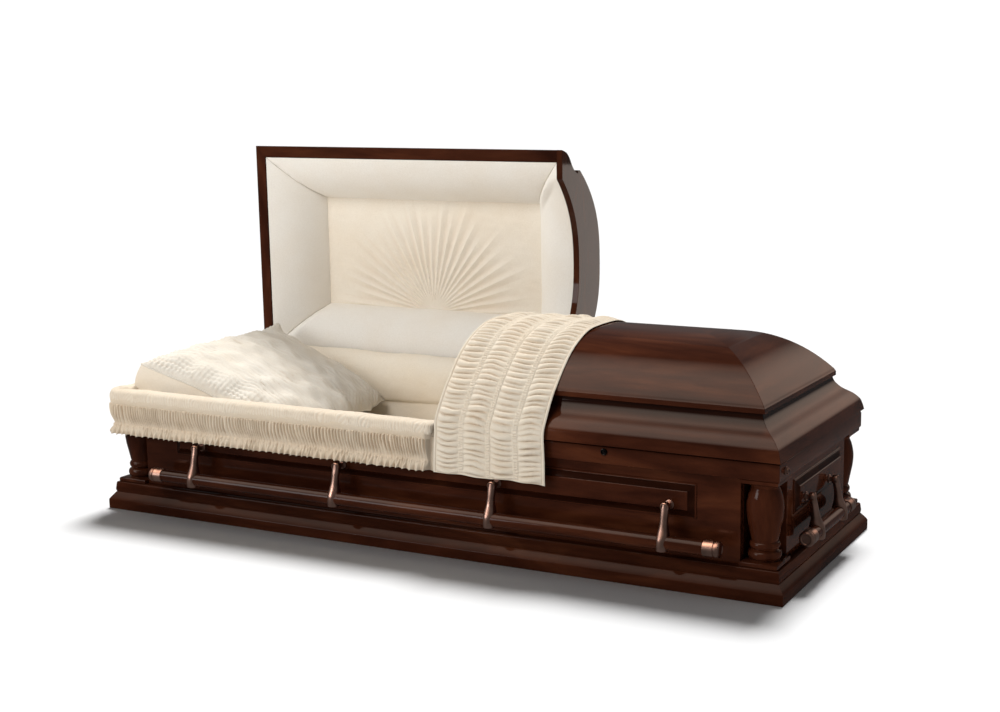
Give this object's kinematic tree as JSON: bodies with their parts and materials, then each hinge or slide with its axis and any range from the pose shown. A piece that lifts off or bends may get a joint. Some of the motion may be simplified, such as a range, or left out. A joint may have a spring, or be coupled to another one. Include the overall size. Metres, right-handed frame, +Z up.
{
  "type": "funeral casket",
  "caption": "Half-couch hardwood casket with a hinged domed lid in two parts, corner columns, swing-bar handles, pillow and gathered fabric interior.",
  "frame": {"origin": "centre of the base moulding's underside, on the floor", "axes": "+X from the head end to the foot end, -Y towards the viewer and the lids' opening side, +Z up"},
  "size_m": [2.174, 1.0043, 1.0526],
  "materials": {
    "wood": "high-gloss dark reddish-brown stain",
    "copper": "polished copper plating",
    "lining_fabric": "soft cream crepe",
    "dark_metal": "satin black"
  },
  "bodies": {
    "root": {"base_moulding": "wood", "bottom_board": "wood", "front_board": "wood", "back_board": "wood", "head_board": "wood", "foot_board": "wood", "top_rail": "wood", "front_panel": "wood", "back_panel": "wood", "head_panel": "wood", "foot_panel": "wood", "column_head_front": "wood", "column_head_back": "wood", "column_foot_front": "wood", "column_foot_back": "wood", "key_fitting": "copper", "head_lid_hinge": "copper", "foot_lid_hinge": "copper", "lid_lock": "dark_metal", "body_lining": "lining_fabric", "mattress": "lining_fabric", "pillow": "lining_fabric", "ruffle": "lining_fabric", "front_lug_1": "copper", "front_lug_2": "copper", "front_lug_3": "copper", "front_lug_4": "copper", "back_lug_1": "copper", "back_lug_2": "copper", "back_lug_3": "copper", "back_lug_4": "copper", "head_lug_1": "copper", "head_lug_2": "copper", "foot_lug_1": "copper", "foot_lug_2": "copper"},
    "head_lid": {"head_lid_crown": "wood", "head_lid_rim": "wood", "head_lid_header": "wood", "head_lid_lining": "lining_fabric", "head_lid_lining_panel": "lining_fabric"},
    "foot_lid": {"foot_lid_crown": "wood", "foot_lid_rim": "wood", "foot_lid_header": "wood", "throw": "lining_fabric"},
    "front_handle": {"front_bar": "wood", "front_arm_1": "copper", "front_arm_2": "copper", "front_arm_3": "copper", "front_arm_4": "copper"},
    "back_handle": {"back_bar": "wood", "back_arm_1": "copper", "back_arm_2": "copper", "back_arm_3": "copper", "back_arm_4": "copper"},
    "head_handle": {"head_bar": "wood", "head_arm_1": "copper", "head_arm_2": "copper"},
    "foot_handle": {"foot_bar": "wood", "foot_arm_1": "copper", "foot_arm_2": "copper"}
  },
  "joints": [
    {"name": "head_lid_hinge_turn", "type": "hinge", "parent": "root", "child": "head_lid", "pos_m": [0, 0.3553, 0.345], "axis": [1, 0, 0], "range_deg": [0, 90], "deforming": ["pillow"]},
    {"name": "foot_lid_hinge_turn", "type": "hinge", "parent": "root", "child": "foot_lid", "pos_m": [0, 0.3553, 0.345], "axis": [1, 0, 0], "range_deg": [-90, 0]},
    {"name": "front_handle_swing", "type": "hinge", "parent": "root", "child": "front_handle", "pos_m": [0, -0.362, 0.213], "axis": [1, 0, 0], "range_deg": [-80, 0]},
    {"name": "back_handle_swing", "type": "hinge", "parent": "root", "child": "back_handle", "pos_m": [0, 0.362, 0.213], "axis": [1, 0, 0], "range_deg": [0, 80]},
    {"name": "head_handle_swing", "type": "hinge", "parent": "root", "child": "head_handle", "pos_m": [-1.051, 0, 0.213], "axis": [0, 1, 0], "range_deg": [0, 80]},
    {"name": "foot_handle_swing", "type": "hinge", "parent": "root", "child": "foot_handle", "pos_m": [1.051, 0, 0.213], "axis": [0, 1, 0], "range_deg": [-80, 0]}
  ]
}
